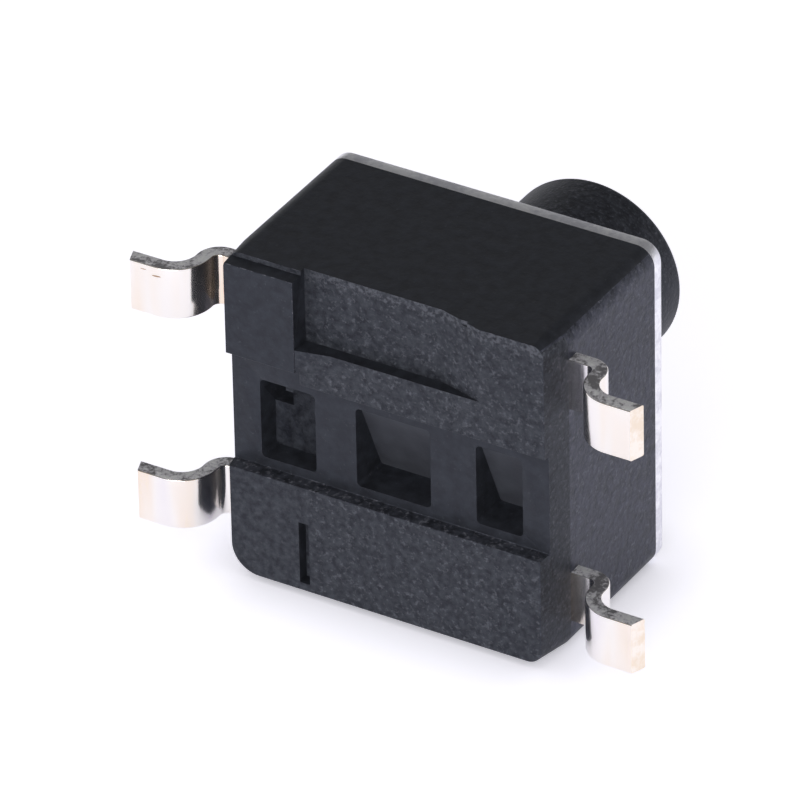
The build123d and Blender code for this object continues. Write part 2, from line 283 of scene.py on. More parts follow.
# rolled faces of the strips
tinned = tinPlate("brightTinOnBrass", {
    "cool": "#e8e4e9", "coolBelow": 0.3, "plain": "#f2eeea", "plainAt": 0.5, "warm": "#efdbc5",
    "warmAbove": 0.8, "brass": "#9a7a5c", "lineMm": 0.09, "lineDeep": 0.002, "patchMm": 0.45,
    "smoothest": 0.14, "roughest": 0.21, "tipWarmth": 0.16, "tipFrom": 3.15, "tipTo": 3.5,
    "scratches": [
        {"at": (-3.24, -1.772), "turn": -1, "long": 0.055, "wide": 0.012, "deep": 0.06, "core": 0.6,
         "amount": 0.6},
        {"at": (-3.06, -1.723), "turn": -3, "long": 0.075, "wide": 0.014, "deep": 0.06, "core": 0.6,
         "amount": 0.9}]})
# their stamped sides, and the feet's ends, which were cut last
sheared = shearedEdge("shearedTinnedBrass", {
    "dark": "#a3a1a4", "middle": "#f0eef2", "light": "#fefefe", "blend": 0.08, "tearMm": 0.055,
    "zoneMm": 0.25, "rough": 0.75, "deep": 0.025})
cutBrass = shearedEdge("cutBrassEnd", {
    "dark": "#efe0cd", "middle": "#f4e8da", "light": "#f8f0e6", "blend": 0.08, "tearMm": 0.09,
    "zoneMm": 0.3, "rough": 0.3, "deep": 0.006})
# faces and blanked edge of the cover plate
plateSteel = rolledSteel("stainlessSheetRolled", {
    "colour": "#e6e6ec", "grainMm": 0.03, "grainDeep": 0.001, "smoothest": 0.27, "roughest": 0.39})
plateEdge = shearedEdge("blankedStainlessEdge", {
    "dark": "#dadae2", "middle": "#e8e8ee", "light": "#f4f4f8", "blend": 0.08, "tearMm": 0.08,
    "zoneMm": 0.4, "rough": 0.42, "deep": 0.01})
domeSteel = rolledSteel("springSteelFormed", {
    "colour": "#cfcdc8", "grainMm": 0.04, "grainDeep": 0.001, "smoothest": 0.19, "roughest": 0.31})
print("materials made")


def roundedOutline(x0, x1, y0, y1, radius, steps):
    # radius is one number or four, from the corner at (x1, y1) anticlockwise
    radii = radius if isinstance(radius, (list, tuple)) else [radius] * 4
    corners = [(x1, y1, 1, 1, 0), (x0, y1, -1, 1, 90), (x0, y0, -1, -1, 180), (x1, y0, 1, -1, 270)]
    points = []
    for (cx, cy, sx, sy, start), r in zip(corners, radii):
        if r <= 0:
            points.append((cx, cy))
            continue
        for i in range(steps + 1):
            a = math.radians(start + 90 * i / steps)
            points.append((cx - sx * r + r * math.cos(a), cy - sy * r + r * math.sin(a)))
    return points


def circleOutline(cx, cy, r, steps):
    return [(cx + r * math.cos(2 * math.pi * i / steps), cy + r * math.sin(2 * math.pi * i / steps))
            for i in range(steps)]


def addObject(name, data):
    thing = bpy.data.objects.new(name, data)
    bpy.context.scene.collection.objects.link(thing)
    return thing


def meshObject(name, bm):
    bmesh.ops.recalc_face_normals(bm, faces=bm.faces)
    mesh = bpy.data.meshes.new(name)
    bm.to_mesh(mesh)
    bm.free()
    return addObject(name, mesh)


def stackMesh(name, rings):
    # closed solid through several outlines of as many points each
    bm = bmesh.new()
    rows = [[bm.verts.new(point) for point in ring] for ring in rings]
    bm.faces.new(list(reversed(rows[0])))
    bm.faces.new(rows[-1])
    n = len(rows[0])
    for a, b in zip(rows, rows[1:]):
        for i in range(n):
            j = (i + 1) % n
            bm.faces.new((a[i], a[j], b[j], b[i]))
    return meshObject(name, bm)


def prismMesh(name, outline, low, high, topOutline=None):
    # closed prism between two levels; topOutline gives drafted walls
    return stackMesh(name, [[(x, y, low) for x, y in outline],
                            [(x, y, high) for x, y in topOutline or outline]])


def latheMesh(name, profile, steps):
    # closed solid of revolution about Z; the profile starts and ends on the axis
    bm = bmesh.new()
    rows = []
    for r, z in profile:
        circle = circleOutline(0, 0, r, steps) if r > 0 else [(0, 0)]
        rows.append([bm.verts.new((x, y, z)) for x, y in circle])
    for a, b in zip(rows, rows[1:]):
        for i in range(steps):
            j = (i + 1) % steps
            corners = [a[i % len(a)], a[j % len(a)], b[j % len(b)], b[i % len(b)]]
            unique = list(dict.fromkeys(corners))
            if len(unique) > 2:
                bm.faces.new(unique)
    return meshObject(name, bm)


def applyModifiers(thing):
    bpy.context.view_layer.update()
    evaluated = thing.evaluated_get(bpy.context.evaluated_depsgraph_get())
    mesh = bpy.data.meshes.new_from_object(evaluated)
    old = thing.data
    thing.modifiers.clear()
    thing.data = mesh
    mesh.name = thing.name
    if old.users == 0:
        bpy.data.meshes.remove(old)
    return thing


def combine(target, other, operation):
    # one boolean step; the other solid is used up
    step = target.modifiers.new("combine", "BOOLEAN")
    step.operation = operation
    step.solver = "EXACT"
    step.object = other
    applyModifiers(target)
    bpy.data.objects.remove(other, do_unlink=True)
    return target


def mergeFlat(thing):
    # the leftovers of the boolean steps: doubled points, and faces that lie in one plane
    bm = bmesh.new()
    bm.from_mesh(thing.data)
    bmesh.ops.remove_doubles(bm, verts=bm.verts, dist=1e-5)
    bmesh.ops.dissolve_limit(bm, angle_limit=math.radians(0.5), verts=bm.verts, edges=bm.edges)
    bm.to_mesh(thing.data)
    bm.free()
    return thing


def roundEdges(thing, width, segments, angle):
    # every edge that turns by more than the angle, in degrees
    step = thing.modifiers.new("round", "BEVEL")
    step.width = width
    step.segments = segments
    step.limit_method = "ANGLE"
    step.angle_limit = math.radians(angle)
    step.use_clamp_overlap = True
    step.miter_outer = "MITER_ARC"
    return applyModifiers(thing)


def roundWeighted(thing, width, segments, weightOf, least=25):
    # every edge that turns by more than the least angle, each by its own share of the width
    bm = bmesh.new()
    bm.from_mesh(thing.data)
    layer = bm.edges.layers.float.get("bevel_weight_edge") or bm.edges.layers.float.new("bevel_weight_edge")
    for edge in bm.edges:
        real = len(edge.link_faces) == 2 and math.degrees(edge.calc_face_angle(0)) > least
        edge[layer] = weightOf(edge.verts[0].co, edge.verts[1].co) if real else 0.0
    bm.to_mesh(thing.data)
    bm.free()
    step = thing.modifiers.new("round", "BEVEL")
    step.width = width
    step.segments = segments
    step.limit_method = "WEIGHT"
    step.use_clamp_overlap = True
    return applyModifiers(thing)


smoothAngle = 35  # degrees; an edge that turns further is shaded sharp


def finishMesh(thing, materials, choose=None, flats=False):
    # millimetres to metres, materials, and smooth shading except at real edges
    thing.data.materials.clear()
    for material in materials:
        thing.data.materials.append(material)
    if choose:
        for face in thing.data.polygons:
            face.material_index = materials.index(choose(face.center, face.normal))
    thing.data.transform(Matrix.Scale(1 / perMetre, 4))
    thing.data.shade_smooth()
    thing.data.set_sharp_from_angle(angle=math.radians(smoothAngle))
    if flats:
        # large flat faces keep their own normal, and the narrow rounds beside them take it up
        step = thing.modifiers.new("flats", "WEIGHTED_NORMAL")
        step.mode = "FACE_AREA"
        step.weight = 100
        step.keep_sharp = True
        applyModifiers(thing)
    return thing


def standFor(thing, body, nodes):
    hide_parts(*nodes)
    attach(thing, body)
    return thing


moulding = {
    # the block: its drafted skirt below the parting line is inset on three sides
    "width": 4.5, "depth": 4.5, "corner": 0.25, "top": 2.67, "parting": 0.62, "under": 0.02,
    "insetLeft": 0.12, "insetRight": 0.07, "insetBack": 0.09,
    "underCorner": 0.12, "backLeftCorner": 0.38, "backRightCorner": 0.2, "cornerSteps": 12,
    # the underside: levels of the trough and the land, then the raised pad and band
    "lowerFace": 0.22, "landFace": 0.13, "landWidth": 1.55, "bandWidth": 1.57,
    "padWidth": 1.08, "padLength": 1.27, "padSetBack": 0.06, "padRun": 0.45,
    "panelLength": 2.5, "panelWidth": 1.01, "panelSink": 0.08, "panelRamp": 0.6, "panelStart": 0.2,
    "slitOffset": 1.08, "slitWidth": 0.14, "slitLength": 0.86, "slitInset": 0.2, "slitDepth": 0.16,
    # the pockets: a stepped one with a hole in one corner, then two with rising floors
    "pocketLength": 1.1, "pocketDepth": 0.55, "pocketSpacing": 1.46, "pocketOffset": 0.06,
    "pocketDraft": 0.02, "pocketWidths": (0.77, 1.03, 0.64), "pocketCorner": 0.06,
    "stepDepth": 0.32, "holeWidth": 0.28, "holeLength": 0.48, "floorRise": 0.46,
    # inside
    "cavityRadius": 1.6, "cavityFloor": 1.07, "keySlot": 0.6, "keyReach": 1.75,
    "postRadius": 0.28, "postInset": 0.5, "headRadius": 0.42, "headHeight": 0.1,
    # rounds
    "padRound": 0.08, "landRound": 0.05, "innerRound": 0.025, "rootRound": 0.07, "fineRound": 0.014,
    # places well clear of the block where cutters start
    "cutPast": 3, "cutBelow": -0.4, "cutAbove": 0.2, "overlap": 0.05,
}


def edgePlaces(m):
    # where the forms of the underside meet
    halfX, halfY = m["width"] / 2, m["depth"] / 2
    return {"halfX": halfX, "halfY": halfY, "front": -halfY + m["padSetBack"], "band": halfY - m["bandWidth"],
            "pad": -halfX + m["padWidth"], "land": -halfY + m["landWidth"], "panel": -halfY + m["panelWidth"],
            "panelEnd": -halfX + m["padWidth"] + m["panelLength"]}


def cutBox(body, m, x0, x1, y0, y1, level):
    cutter = prismMesh("cutter", roundedOutline(x0, x1, y0, y1, 0, 1), m["cutBelow"], level)
    combine(body, cutter, "DIFFERENCE")


def mouldedBlock(m, e):
    # the outside, with pad, land and band at their own levels and their edges rounded
    halfX, halfY, past = e["halfX"], e["halfY"], m["cutPast"]
    under = roundedOutline(-halfX + m["insetLeft"], halfX - m["insetRight"], -halfY, halfY - m["insetBack"],
                           [m["backRightCorner"], m["backLeftCorner"], m["underCorner"], m["underCorner"]],
                           m["cornerSteps"])
    whole = roundedOutline(-halfX, halfX, -halfY, halfY, m["corner"], m["cornerSteps"])
    levels = [(under, m["under"]), (whole, m["parting"]), (whole, m["top"])]
    body = stackMesh("mouldedBase", [[(x, y, z) for x, y in outline] for outline, z in levels])
    cutBox(body, m, -past, past, e["land"], e["band"], m["lowerFace"])
    cutBox(body, m, -past, e["panelEnd"] - m["panelStart"], -past, e["front"], m["lowerFace"])
    cutBox(body, m, -past, e["pad"], e["front"] + m["padLength"], e["land"] + 0.1, m["lowerFace"])
    cutBox(body, m, e["pad"], past, e["front"] - 0.1, e["land"] + 0.1, m["landFace"])
    mergeFlat(body)

    def weightOf(a, b):
        touch, high = 0.005, max(a.z, b.z)
        if high < m["under"] + touch:
            return 1.0
        if high < m["landFace"] + touch:
            return m["landRound"] / m["padRound"]
        if abs(a.y - e["band"]) + abs(b.y - e["band"]) < 0.01 and min(a.z, b.z) > m["lowerFace"] - 0.01:
            return m["rootRound"] / m["padRound"]
        return m["innerRound"] / m["padRound"]

    return roundWeighted(body, m["padRound"], 4, weightOf)


def cutPanel(body, m, e):
    # panel beside the pad, its floor sloping up to the land at one end
    floor, end, past, below = m["lowerFace"] + m["panelSink"], e["panelEnd"], m["cutPast"], m["cutBelow"]
    side = [(e["pad"], below), (end, below), (end, m["landFace"]), (end - m["panelRamp"], floor),
            (e["pad"], floor)]
    panel = stackMesh("panel", [[(x, y, z) for x, z in side] for y in (-past, e["panel"])])
    combine(body, panel, "DIFFERENCE")
    # below the panel the pad runs out to the land on a slope
    low, high = m["under"] + 0.003, m["landFace"] + m["overlap"]
    root, foot = e["pad"] - 0.2, e["pad"] + m["padRun"]
    slope = [(root, low), (e["pad"] - 0.06, low), (foot, m["landFace"] + 0.001), (foot, high), (root, high)]
    runOut = stackMesh("runOut", [[(x, y, z) for x, z in slope]
                                  for y in (e["panel"], e["front"] + m["padLength"] - 0.03)])
    combine(body, runOut, "UNION")
    slitEnd, slitStart = e["halfY"] - m["slitInset"], -e["halfX"] + m["slitOffset"]
    cutBox(body, m, slitStart, slitStart + m["slitWidth"], slitEnd - m["slitLength"], slitEnd,
           m["under"] + m["slitDepth"])


def cutPockets(body, m):
    draft, deep, over = m["pocketDraft"], m["lowerFace"] + m["pocketDepth"], m["overlap"]
    centres = [m["pocketOffset"] + (i - 1) * m["pocketSpacing"] for i in range(3)]
    for centre, width in zip(centres, m["pocketWidths"]):
        half, long = width / 2, m["pocketLength"] / 2
        mouth = roundedOutline(centre - half, centre + half, -long, long, m["pocketCorner"], 5)
        base = roundedOutline(centre - half + draft, centre + half - draft, -long + draft, long - draft,
                              m["pocketCorner"] - draft, 5)
        # drawn past the mouth so that the cut is clean
        combine(body, prismMesh("pocket", mouth, m["lowerFace"] - over, deep, base), "DIFFERENCE")
    # what fills them again is a hair larger, so that it joins their walls
    for i, (centre, width) in enumerate(zip(centres, m["pocketWidths"])):
        half, long = width / 2 + 0.01, m["pocketLength"] / 2 + 0.01
        if i == 0:
            corner, edge = centre - half + m["holeWidth"], -long + m["holeLength"]
            outline = [(centre - half, edge), (corner, edge), (corner, -long), (centre + half, -long),
                       (centre + half, long), (centre - half, long)]
            fill = prismMesh("step", outline, m["lowerFace"] + m["stepDepth"], deep + over)
        else:
            side = [(-long, deep - m["floorRise"]), (long, deep - 0.001), (long, deep + over),
                    (-long, deep + over)]
            fill = stackMesh("ramp", [[(x, y, z) for y, z in side] for x in (centre - half, centre + half)])
        combine(body, fill, "UNION")


def cutCavity(body, m):
    # round room for the dome and the flange, and slots for the button's keys
    high, reach, half = m["top"] + m["cutAbove"], m["keyReach"], m["keySlot"] / 2
    cavity = prismMesh("cavity", circleOutline(0, 0, m["cavityRadius"], 96), m["cavityFloor"], high)
    combine(body, cavity, "DIFFERENCE")
    slots = prismMesh("slots", roundedOutline(-reach, reach, -half, half, 0, 1),
                      m["cavityFloor"] + 0.001, high)
    combine(body, slots, "DIFFERENCE")


def nylonZone(m):
    # which finish of the mould a face of the housing was made by; some finishes are also lighter or darker
    # copies that paint light and shade
    near, wall, facing, sloping = 0.02, 2.0, 0.93, 0.35

    def choose(centre, normal):
        down = -normal.z
        inPocket = (abs(centre.y) < m["pocketLength"] / 2
                    and m["lowerFace"] + near < centre.z < m["cavityFloor"])
        if inPocket and down > 0.8 and abs(normal.x) < 0.1 and normal.y > 0.1:
            return coredAndLitFloorNylon  # a rising floor, coloured lighter: painted light
        if down > facing:
            if centre.z < m["under"] + 0.03:
                return smoothNylon if centre.y < 0 else sparkedNylon
            if centre.z < m["lowerFace"] - near or centre.y < -m["depth"] / 2 + m["panelWidth"] + 0.01:
                return sparkedNylon
            # the step's floor takes the darker copy, painted shade
            if abs(centre.z - m["lowerFace"] - m["stepDepth"]) < near:
                return tornAndShadedNylon
            # the deep pocket floors take the lighter copy, painted light
            return coredAndLitFloorNylon if centre.z > m["lowerFace"] + 0.05 else smoothNylon
        # rounds and the band's wall take the paler edge finish: partly wear, partly painted highlight
        if sloping < abs(normal.z) < facing or abs(centre.y - m["depth"] / 2 + m["bandWidth"]) < 0.01:
            return rubbedAndHighlitNylon
        if abs(normal.x) > 0.7 and abs(centre.x) > wall:
            # the ±X walls above the parting take the lighter copy, painted light; the skirt below takes the
            # darker spark-eroded finish
            return draftedAndLitSideNylon if centre.z > m["parting"] else sparkedNylon
        return smoothNylon

    return choose


def buildMoulding(m):
    e = edgePlaces(m)
    body = mouldedBlock(m, e)
    cutPanel(body, m, e)
    cutPockets(body, m)
    cutCavity(body, m)
    mergeFlat(body)
    roundEdges(body, m["fineRound"], 2, 40)
    return finishMesh(body, [smoothNylon, sparkedNylon, draftedAndLitSideNylon, rubbedAndHighlitNylon, tornAndShadedNylon, coredAndLitFloorNylon],
                      nylonZone(m), flats=True)


mouldedBase = standFor(buildMoulding(moulding), "switch_body", ["base"])
print("moulded base built")


def newTree(name, sockets):
    tree = bpy.data.node_groups.new(name, "GeometryNodeTree")
    for label, kind in sockets:
        tree.interface.new_socket(label, in_out="INPUT", socket_type=kind)
    tree.interface.new_socket("Geometry", in_out="OUTPUT", socket_type="NodeSocketGeometry")
    return tree


def runTree(thing, tree, values):
    step = thing.modifiers.new(tree.name, "NODES")
    step.node_group = tree
    names = {s.name: s.identifier for s in tree.interface.items_tree if s.in_out == "INPUT"}
    for label, value in values.items():
        step[names[label]] = value
    return applyModifiers(thing)


plate = {"thickness": 0.16, "corner": 0.25, "hole": 1.25, "postHole": 0.3, "edgeRound": 0.025}


def headTree():
    # the same formed head on each of the four posts, turned a little differently each time
    tree = newTree("stakedHeads", [("Geometry", "NodeSocketGeometry"), ("Spacing X", "NodeSocketFloat"),
                                   ("Spacing Y", "NodeSocketFloat"), ("Level", "NodeSocketFloat"),
                                   ("Head", "NodeSocketObject"), ("Material", "NodeSocketMaterial")])
    given = addNode(tree, "NodeGroupInput").outputs
    grid = addNode(tree, "GeometryNodeMeshGrid", {
        "Size X": given["Spacing X"], "Size Y": given["Spacing Y"], "Vertices X": 2, "Vertices Y": 2})
    lift = addNode(tree, "ShaderNodeCombineXYZ", {"Z": given["Level"]})
    raised = addNode(tree, "GeometryNodeSetPosition", {
        "Geometry": grid.outputs["Mesh"], "Offset": lift.outputs["Vector"]})
    head = addNode(tree, "GeometryNodeObjectInfo", {"Object": given["Head"]}, transform_space="ORIGINAL")
    turn = addNode(tree, "FunctionNodeRandomValue", {2: 0.0, 3: 6.28, "Seed": 4}, data_type="FLOAT")
    spin = addNode(tree, "ShaderNodeCombineXYZ", {"Z": turn.outputs[1]})
    heads = addNode(tree, "GeometryNodeInstanceOnPoints", {
        "Points": raised.outputs["Geometry"], "Instance": head.outputs["Geometry"],
        "Rotation": spin.outputs["Vector"]})
    real = addNode(tree, "GeometryNodeRealizeInstances", {"Geometry": heads.outputs["Instances"]})
    finish = addNode(tree, "GeometryNodeSetMaterial", {
        "Geometry": real.outputs["Geometry"], "Material": given["Material"]})
    addNode(tree, "NodeGroupOutput", {"Geometry": finish.outputs["Geometry"]})
    return tree


def buildHeads(m, p):
    # post and its formed head: low, slightly sunken where the tool pressed it
    r, h, low = m["headRadius"], m["headHeight"], -0.3
    post = [(0, low), (m["postRadius"], low), (m["postRadius"], 0.0)]
    rim = [(r - 0.01, 0.0), (r, 0.015), (r, 0.035), (r - 0.02, 0.07), (r - 0.06, 0.092), (r - 0.12, h)]
    pressed = [(r - 0.2, h - 0.006), (0.1, h - 0.016), (0, h - 0.018)]
    head = latheMesh("postHead", post + rim + pressed, 48)
    heads = addObject("postHeads", bpy.data.meshes.new("postHeads"))
    # the heads take the paler edge finish: partly wear, partly painted highlight
    runTree(heads, headTree(), {
        "Spacing X": m["width"] - 2 * m["postInset"], "Spacing Y": m["depth"] - 2 * m["postInset"],
        "Level": m["top"] + p["thickness"], "Head": head, "Material": rubbedAndHighlitNylon})
    bpy.data.objects.remove(head, do_unlink=True)
    return finishMesh(heads, [rubbedAndHighlitNylon])


def buildPlate(p, m):
    halfX, halfY = m["width"] / 2, m["depth"] / 2
    outline = roundedOutline(-halfX, halfX, -halfY, halfY, p["corner"], m["cornerSteps"])
    sheet = prismMesh("coverPlate", outline, m["top"], m["top"] + p["thickness"])
    low, high = m["top"] - 0.1, m["top"] + 0.5  # holes are cut from below the sheet to above it
    holes = [(0, 0, p["hole"], 96)]
    holes += [(sx * (halfX - m["postInset"]), sy * (halfY - m["postInset"]), p["postHole"], 40)
              for sx in (-1, 1) for sy in (-1, 1)]
    for x, y, radius, steps in holes:
        combine(sheet, prismMesh("hole", circleOutline(x, y, radius, steps), low, high), "DIFFERENCE")
    mergeFlat(sheet)
    roundEdges(sheet, p["edgeRound"], 3, 30)
    return finishMesh(sheet, [plateSteel, plateEdge],
                      lambda centre, normal: plateSteel if abs(normal.z) > 0.9 else plateEdge, flats=True)


coverPlate = standFor(buildPlate(plate, moulding), "switch_body", ["cover_plate"])
postHeads = buildHeads(moulding, plate)
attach(postHeads, "switch_body")
print("cover plate and post heads built")


terminal = {
    "thickness": 0.2, "width": 0.7, "pitch": 3.0, "span": 7.0, "exit": 0.62, "foot": 0.42,
    "tipSlant": 0.07, "knee": 0.2, "heel": 0.38, "cornerRound": 0.02, "contactLevel": 1.07,
    "crankStart": 0.1, "crankRun": 0.35, "crankBend": 0.12,
    "middleTongueWidth": 0.6, "middleReach": 0.35,
    "outerTongueWidth": 0.5, "outerOffset": 1.3, "outerReach": 0.5,
    "bendSteps": 14, "cornerSteps": 3,
}


def stripTree(t):
    # a flat strip swept along a bent line: each corner of the line has its own bend radius
    tree = newTree("bentStrip", [("Geometry", "NodeSocketGeometry"), ("Width", "NodeSocketFloat"),
                                 ("Thickness", "NodeSocketFloat"), ("Corner", "NodeSocketFloat"),
                                 ("Material", "NodeSocketMaterial")])
    given = addNode(tree, "NodeGroupInput").outputs
    line = addNode(tree, "GeometryNodeMeshToCurve", {"Mesh": given["Geometry"]})
    radius = addNode(tree, "GeometryNodeInputNamedAttribute", {"Name": "bendRadius"}, data_type="FLOAT")
    bent = addNode(tree, "GeometryNodeFilletCurve", {
        "Curve": line.outputs["Curve"], "Count": t["bendSteps"], "Radius": radius.outputs["Attribute"],
        "Limit Radius": True}, mode="POLY")
    section = addNode(tree, "GeometryNodeCurvePrimitiveQuadrilateral", {
        "Width": given["Width"], "Height": given["Thickness"]}, mode="RECTANGLE")
    eased = addNode(tree, "GeometryNodeFilletCurve", {
        "Curve": section.outputs["Curve"], "Count": t["cornerSteps"], "Radius": given["Corner"]}, mode="POLY")
    swept = addNode(tree, "GeometryNodeCurveToMesh", {
        "Curve": bent.outputs["Curve"], "Profile Curve": eased.outputs["Curve"], "Fill Caps": True})
    real = addNode(tree, "GeometryNodeRealizeInstances", {"Geometry": swept.outputs["Mesh"]})
    finish = addNode(tree, "GeometryNodeSetMaterial", {
        "Geometry": real.outputs["Geometry"], "Material": given["Material"]})
    addNode(tree, "NodeGroupOutput", {"Geometry": finish.outputs["Geometry"]})
    return tree


bentStrip = stripTree(terminal)


def sweptStrip(name, points, radii, width, t):
    bm = bmesh.new()
    layer = bm.verts.layers.float.new("bendRadius")
    verts = []
    for point, r in zip(points, radii):
        v = bm.verts.new(point)
        v[layer] = r
        verts.append(v)
    for a, b in zip(verts, verts[1:]):
        bm.edges.new((a, b))
    return runTree(meshObject(name, bm), bentStrip, {
        "Width": width, "Thickness": t["thickness"], "Corner": t["cornerRound"], "Material": tinned})


def buildTerminal(name, side, tongues, t):
    # tongues are listed as place along X, width, and reach past the middle
    half, middle = t["thickness"] / 2, t["exit"] + t["thickness"] / 2
    heel = min(t["heel"], t["exit"] - t["knee"])
    tip = t["span"] / 2
    riser = tip - t["foot"] - heel
    y = side * t["pitch"] / 2
    leads = sweptStrip(name, [(-tip, y, half), (-riser, y, half), (-riser, y, middle), (riser, y, middle),
                              (riser, y, half), (tip, y, half)],
                       [0, heel, t["knee"], t["knee"], heel, 0], t["width"], t)
    high = t["contactLevel"] - half
    low = t["pitch"] / 2 - t["width"] / 2 - t["crankStart"]
    up = low - t["crankRun"]
    parts = [leads] + [
        sweptStrip("tongue", [(x, y, middle), (x, side * low, middle), (x, side * up, high),
                              (x, -side * reach, high)],
                   [0, t["crankBend"], t["crankBend"], 0], width, t)
        for x, width, reach in tongues]
    bm = bmesh.new()
    for part in parts:
        bm.from_mesh(part.data)
    for part in parts[1:]:
        bpy.data.objects.remove(part, do_unlink=True)
    bmesh.ops.remove_doubles(bm, verts=bm.verts, dist=1e-6)
    bmesh.ops.recalc_face_normals(bm, faces=bm.faces)
    # the feet are cut on a slant
    touch = 0.001
    for vert in bm.verts:
        if abs(vert.co.x) > tip - touch and vert.co.z < t["thickness"] + touch:
            vert.co.x -= math.copysign(t["tipSlant"] * (1 - vert.co.z / t["thickness"]), vert.co.x)
    bm.to_mesh(leads.data)
    bm.free()
    leads.data.update()

    def choose(centre, normal):
        # rolled faces are plated, the strip's sides are sheared and the ends are cut last
        if abs(normal.x) > 0.8 and abs(centre.x) > tip - t["tipSlant"]:
            return cutBrass
        return sheared if abs(normal.y) > 0.75 else tinned

    return finishMesh(leads, [tinned, sheared, cutBrass], choose)


middleTerminal = standFor(buildTerminal(
    "middleTerminal", -1, [(0, terminal["middleTongueWidth"], terminal["middleReach"])], terminal),
    "switch_body", ["middle_terminal"])
outerTerminal = standFor(buildTerminal(
    "outerTerminal", 1, [(s * terminal["outerOffset"], terminal["outerTongueWidth"], terminal["outerReach"])
                         for s in (-1, 1)], terminal),
    "switch_body", ["outer_terminal"])
print("terminals built")


dome = {"radius": 1.5, "height": 0.42, "thickness": 0.06, "rings": 24, "steps": 96, "pressed": 0.425}


def buildDome(d, level):
    outer = (d["radius"] ** 2 + d["height"] ** 2) / (2 * d["height"])
    inner = outer - d["thickness"]
    centre = d["height"] - outer

    def skin(sphere, edge):
        # cap of a sphere, from the middle out to its edge
        return [(r, level + centre + math.sqrt(sphere ** 2 - r ** 2))
                for r in (edge * i / d["rings"] for i in range(d["rings"] + 1))]

    profile = skin(outer, d["radius"]) + skin(inner, math.sqrt(inner ** 2 - centre ** 2))[::-1]
    profile[0] = (0, level + d["height"])
    profile[-1] = (0, level + d["height"] - d["thickness"])
    return finishMesh(latheMesh("snapDome", profile, d["steps"]), [domeSteel])


snapDome = standFor(buildDome(dome, terminal["contactLevel"]), "switch_body", ["snap_dome"])
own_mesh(snapDome)


button = {"radius": 1.2, "top": 5.2, "round": 0.1, "root": 0.05, "flange": 1.52, "flangeTop": 2.65,
          "flangeBottom": 2.15, "flangeRound": 0.03, "nub": 0.5, "nubBottom": 1.5, "nubRound": 0.08,
          "keyWidth": 0.5, "keyReach": 1.67, "keyCorner": 0.02, "steps": 128}


def arcPoints(cx, cz, r, start, end, steps):
    return [(cx + r * math.cos(math.radians(start + (end - start) * i / steps)),
             cz + r * math.sin(math.radians(start + (end - start) * i / steps))) for i in range(steps + 1)]


def buildButton(b):
    # turned outline from the nub up over the flange and the shaft to the flat top
    soft = b["flangeRound"]
    profile = [(0, b["nubBottom"])]
    profile += arcPoints(b["nub"] - b["nubRound"], b["nubBottom"] + b["nubRound"], b["nubRound"], -90, 0, 6)
    profile += [(b["nub"], b["flangeBottom"])]
    profile += arcPoints(b["flange"] - soft, b["flangeBottom"] + soft, soft, -90, 0, 4)
    profile += arcPoints(b["flange"] - soft, b["flangeTop"] - soft, soft, 0, 90, 4)
    profile += arcPoints(b["radius"] + b["root"], b["flangeTop"] + b["root"], b["root"], 270, 180, 5)
    low, high = b["flangeTop"] + b["root"], b["top"] - b["round"]
    profile += [(b["radius"], low + (high - low) * i / 6) for i in range(1, 6)]
    profile += arcPoints(b["radius"] - b["round"], b["top"] - b["round"], b["round"], 0, 90, 8)
    profile += [(b["radius"] * k, b["top"]) for k in (0.8, 0.5, 0.2)] + [(0, b["top"])]
    cap = latheMesh("pushButton", profile, b["steps"])
    reach, half, inside = b["keyReach"], b["keyWidth"] / 2, 0.002
    keys = prismMesh("keys", roundedOutline(-reach, reach, -half, half, b["keyCorner"], 3),
                     b["flangeBottom"] + inside, b["flangeTop"] - inside)
    combine(cap, keys, "UNION")
    return finishMesh(cap, [buttonNylon])


pushButton = standFor(buildButton(button), "pushbutton", ["button"])
print("dome and button built")


# lengths in mm; the rest are strengths, and places up a unit sphere where the room turns dim
stage = {"tableSize": 1200, "colour": "#f5f4fb", "glow": 0.8, "shade": 0.6, "shadeReach": 0.8,
         "ambient": 0.3, "overhead": 0.2, "dimFrom": -0.45, "dimTo": 0.1}


